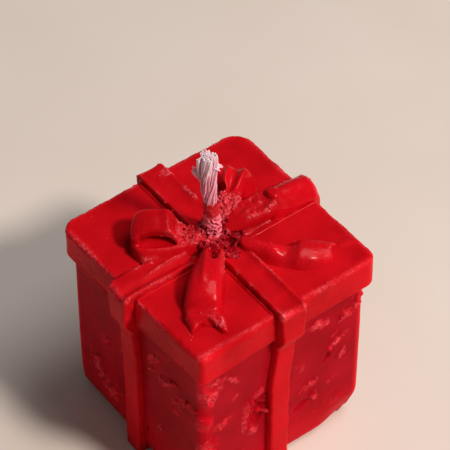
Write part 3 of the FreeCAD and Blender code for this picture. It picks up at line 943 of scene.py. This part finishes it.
def make_knot():
    """The gathered middle of the bow: torn, bubbly wax round the foot of the wick."""

    def mound(x, y, w):
        away = np.hypot(x + 0.2, (y + 0.9) * 0.9)
        top = 2.2 + 1.3 * patchy(x, y, 0 * w, 1.7, 41) + 0.9 * ease(y, 0.5, 2.5)
        top = top - 0.03 * away**2
        depth = within(w - top, away - 5.4 + 0.9 * patchy(x, y, w, 2.0, 42), 0.9)
        for cx, cy, cw, radius in KNOT_LUMPS:
            ball = np.sqrt((x - cx) ** 2 + (y - cy) ** 2 + (w - cw) ** 2) - radius
            depth = joined(depth, ball, 0.4)
        for cx, cy, cw, radius in KNOT_HOLLOWS:  # taller than they are wide
            ball = np.sqrt((x - cx) ** 2 + (y - cy) ** 2 + 0.3 * (w - cw) ** 2) - radius
            depth = within(depth, -ball, 0.3)
        return depth

    def field(x, y, w):
        everywhere = ease(w, 0.3, 0.9)
        depth = mound(x, y, w) + 0.10 * rough(x, y, w, 1.1, 43)
        return froth(settle(depth, w), x, y, w, everywhere, 1.0, 44, 0.42)

    def roughness(x, y, w):
        return 0.5 * ease(w, 1.4, 2.6) * ease(patchy(x, y, w, 1.3, 45), -0.2, 0.4)

    # the knot's wax is a darker copy, as painted shade in its pits
    bow_piece("bow_knot", 0, (-6.6, -7.6, -0.3), (6.6, 6.2, 5.6), 0.13, field,
              roughness, (2.4, 0.06, 0.2), 47, KNOT_WAX_SHADED, 0.6)


# ---- the wick ----
WICK_FOOT = np.array([-0.5, 0.9, 0.0])  # where it comes out, over the lid's top
WICK_LEAN = np.array([-0.038, 0.030])  # sideways for each mm up
FROTH_TOP, COAT_TOP = 8.0, 10.9  # the froth ends, and the wax ends, this high over the lid


def off_the_wick(x, y, w):
    """Distance from the wick's middle line, which has a slight natural wander."""
    cx = WICK_FOOT[0] + WICK_LEAN[0] * w + 0.12 * np.sin(w / 3.1)
    cy = WICK_FOOT[1] + WICK_LEAN[1] * w + 0.10 * np.sin(w / 2.3 + 1)
    return np.hypot(x - cx, y - cy)


def make_wick_coat():
    """Wax that has climbed the wick: froth at the bottom, a clear red cuff at the top."""

    def froth_part(w):
        return fade(w, FROTH_TOP - 1.2, FROTH_TOP)

    def field(x, y, w):
        radius = through(w, [(0, 2.1), (3, 1.75), (6, 1.7), (FROTH_TOP, 1.45), (COAT_TOP, 1.3)])
        depth = off_the_wick(x, y, w) - radius + 0.12 * rough(x, y, w, 1.3, 101)
        depth = within(depth, np.maximum(w - COAT_TOP, 0.4 - w), 0.3)
        return froth(depth, x, y, w, froth_part(w), 0.62, 102, 0.44)

    piece = cast("wick_wax_coat_froth", (-3.6, -2.2, 0.0), (2.6, 4.6, COAT_TOP + 0.6), 0.11,
                 field, 0.0, LID_TOP)
    x, y, z = points_of(piece)
    w = z - LID_TOP
    outside = ease(off_the_wick(x, y, w), 1.25, 1.75)
    paint(piece, "frost", outside * froth_part(w) * ease(patchy(x, y, w, 1.5, 104), -0.9, 0.1))
    piece.data.materials.append(WICK_WAX)
    take_place(piece, "wick_wax_coat")


def yarn_tree():
    """Spins fibres round each guide line: twisted together below, loose at the tip."""
    tree, given = new_tree("cotton_yarn", (
        ("Guides", "Geometry", None), ("Cotton", "Material", None), ("Fibres", "Int", 20),
        ("Yarn radius", "Float", 0.5 * MM), ("Fibre radius", "Float", 0.09 * MM),
        ("Turns", "Float", 1.5), ("Fray", "Float", 0.5 * MM)), "Yarn")
    copies = add(tree, "GeometryNodeDuplicateElements", {
        "Geometry": given["Guides"], "Amount": given["Fibres"]}, domain="SPLINE")
    fine = add(tree, "GeometryNodeResampleCurve", {"Curve": copies, "Count": 44})
    along = add(tree, "GeometryNodeSplineParameter").outputs["Factor"]
    spline = add(tree, "GeometryNodeInputIndex")
    which = add(tree, "GeometryNodeFieldOnDomain", (spline,), data_type="INT", domain="CURVE")
    first_turn, off_middle, stray = (
        add(tree, "FunctionNodeRandomValue", {2: 0.0, 3: 1.0, "ID": which, "Seed": seed},
            data_type="FLOAT").outputs[1]
        for seed in (3, 14, 25))
    phase, twist = (
        add(tree, "ShaderNodeMath", (turns, 2 * math.pi), operation="MULTIPLY")
        for turns in (first_turn, given["Turns"]))
    swing = add(tree, "ShaderNodeMath", (along, twist, phase), operation="MULTIPLY_ADD")
    spread = add(tree, "ShaderNodeMath", (off_middle,), operation="SQRT")
    spread = add(tree, "ShaderNodeMath", (spread, given["Yarn radius"]), operation="MULTIPLY")
    loose = add(tree, "ShaderNodeMath", (along, 5.0), operation="POWER")
    for share in (given["Fray"], stray):
        loose = add(tree, "ShaderNodeMath", (loose, share), operation="MULTIPLY")
    reach = add(tree, "ShaderNodeMath", (spread, loose), operation="ADD")
    side = add(tree, "ShaderNodeMath", (swing,), operation="COSINE")
    front = add(tree, "ShaderNodeMath", (swing,), operation="SINE")
    offset = add(tree, "ShaderNodeCombineXYZ", (side, front))
    offset = add(tree, "ShaderNodeVectorMath", {0: offset, "Scale": reach}, operation="SCALE")
    crimp = add(tree, "ShaderNodeTexNoise", {"Scale": 1 / (1.6 * MM), "Detail": 2.0})
    crimp = add(tree, "ShaderNodeVectorMath", (crimp.outputs["Color"], (0.5, 0.5, 0.5)),
                operation="SUBTRACT")
    crimp = add(tree, "ShaderNodeVectorMath", {0: crimp, "Scale": 0.7 * MM}, operation="SCALE")
    moved = add(tree, "ShaderNodeVectorMath", (offset, crimp), operation="ADD")
    strands = add(tree, "GeometryNodeSetPosition", {"Geometry": fine, "Offset": moved})
    ring = add(tree, "GeometryNodeCurvePrimitiveCircle", {
        "Resolution": 5, "Radius": given["Fibre radius"]})
    tubes = add(tree, "GeometryNodeCurveToMesh", {
        "Curve": strands, "Profile Curve": ring, "Fill Caps": True})
    smooth = add(tree, "GeometryNodeSetShadeSmooth", (tubes,))
    real = add(tree, "GeometryNodeRealizeInstances", (smooth,))
    dressed = add(tree, "GeometryNodeSetMaterial", {
        "Geometry": real, "Material": given["Cotton"]})
    add(tree, "NodeGroupOutput", (dressed,))
    return tree


# Each yarn's tip: how far it strays from the wick's line (x, y), its height, and how far
# it then droops, in mm
YARN_TIPS = (
    (0.0, 0.0, 23.0, 0), (-0.4, 0.3, 22.8, 0), (0.4, -0.3, 22.9, 0), (-0.2, -0.4, 22.7, 0),
    (0.2, 0.3, 22.7, 0), (-1.5, 1.1, 18.6, 0), (1.5, -1.1, 22.0, 2.4), (-0.4, 0.4, 22.3, 0))


def make_wick():
    """Eight cotton yarns, laid together in the wax and fraying apart above it."""
    guides = bpy.data.curves.new("wick_guides", "CURVE")
    guides.dimensions = "3D"
    bottom, count = -LID_TOP + 0.4, 30  # it starts just over the base
    for k, (stray_x, stray_y, height, droop) in enumerate(YARN_TIPS):
        turn = 2 * math.pi * k / len(YARN_TIPS)
        spline = guides.splines.new("POLY")
        spline.points.add(count - 1)
        for i in range(count):
            w = bottom + (height - bottom) * (i / (count - 1)) ** 0.55  # closer near the tip
            above = max(w, 0.0)
            apart = float(ease(w, 11.0, height))
            radius = 0.55 + 0.3 * float(ease(w, 9.0, 13.0))
            swing = turn + w / 5.2
            hang = droop * float(ease(w, height - 1.8, height + 0.4)) ** 2
            x = WICK_FOOT[0] + WICK_LEAN[0] * above + radius * math.cos(swing)
            y = WICK_FOOT[1] + WICK_LEAN[1] * above + radius * math.sin(swing)
            x, y = x + stray_x * (apart + 0.3 * hang), y + stray_y * (apart + 0.3 * hang)
            spline.points[i].co = (x * MM, y * MM, (LID_TOP + w - hang) * MM, 1.0)
    wick = run_tree(in_scene("wick_cotton", guides), yarn_tree(), **{
        "Cotton": COTTON, "Fibres": 26, "Yarn radius": 0.58 * MM,
        "Fibre radius": 0.14 * MM, "Turns": 1.3, "Fray": 0.5 * MM})
    take_place(wick, "wick")


# ---- table, light and camera ----
def make_table():
    side = 1.6
    mesh = bpy.data.meshes.new("table")
    mesh.from_pydata(
        [(-side, -side, 0), (side, -side, 0), (side, side, 0), (-side, side, 0)], [],
        [(0, 1, 2, 3)])
    mesh.materials.append(make_material("pale_tabletop", table_paint))
    in_scene("table", mesh)


def direction(azimuth, elevation):
    """A unit vector; azimuth 0 is the front, -Y, and +90 is the right, +X."""
    a, e = math.radians(azimuth), math.radians(elevation)
    return Vector((math.sin(a) * math.cos(e), -math.cos(a) * math.cos(e), math.sin(e)))


def aim(thing, target):
    thing.rotation_euler = (target - thing.location).to_track_quat("-Z", "Y").to_euler()


def soft_light(name, azimuth, elevation, distance, size, watts, colour):
    lamp = bpy.data.lights.new(name, "AREA")
    lamp.shape = "DISK"
    lamp.size = size
    lamp.energy = watts
    lamp.color = to_linear(colour)[:3]
    holder = in_scene(name, lamp)
    middle = Vector((0, 0, LID_TOP * MM / 2))
    holder.location = middle + direction(azimuth, elevation) * distance
    aim(holder, middle)


def make_light():
    soft_light("key_softbox", 19, 48, 0.9, 0.13, 6.4, "#FFF1E6")
    soft_light("overhead_softbox", 60, 66, 1.1, 0.6, 4.6, "#FFFFFF")
    world = bpy.data.worlds.new("studio")
    world.use_nodes = True
    world.node_tree.nodes["Background"].inputs["Color"].default_value = to_linear("#F4F2F0")
    world.node_tree.nodes["Background"].inputs["Strength"].default_value = 0.12
    bpy.context.scene.world = world


CAMERA_AZIMUTH, CAMERA_ELEVATION = -37.05, 46.72
CAMERA_DISTANCE = 487.1 * MM
CAMERA_AIM = Vector((17.0, 20.2, 23.6)) * MM
CAMERA_LENS, CAMERA_SENSOR = 185.0, 36.0  # mm: a long macro lens


def make_camera():
    data = bpy.data.cameras.new("camera")
    data.lens = CAMERA_LENS
    data.sensor_width = CAMERA_SENSOR
    data.clip_start = 0.01
    camera = in_scene("camera", data)
    camera.location = CAMERA_AIM + direction(CAMERA_AZIMUTH, CAMERA_ELEVATION) * CAMERA_DISTANCE
    aim(camera, CAMERA_AIM)
    bpy.context.scene.camera = camera


# ---- the candle ----
make_camera()
make_light()
make_table()
make_box()
make_lid()
for arm in ARMS:
    make_arm(arm)
make_left_loop()
make_back_loop()
make_right_loop()
make_front_tail()
make_right_tail()
make_knot()
make_wick_coat()
make_wick()

bpy.context.scene.view_settings.view_transform = "Standard"
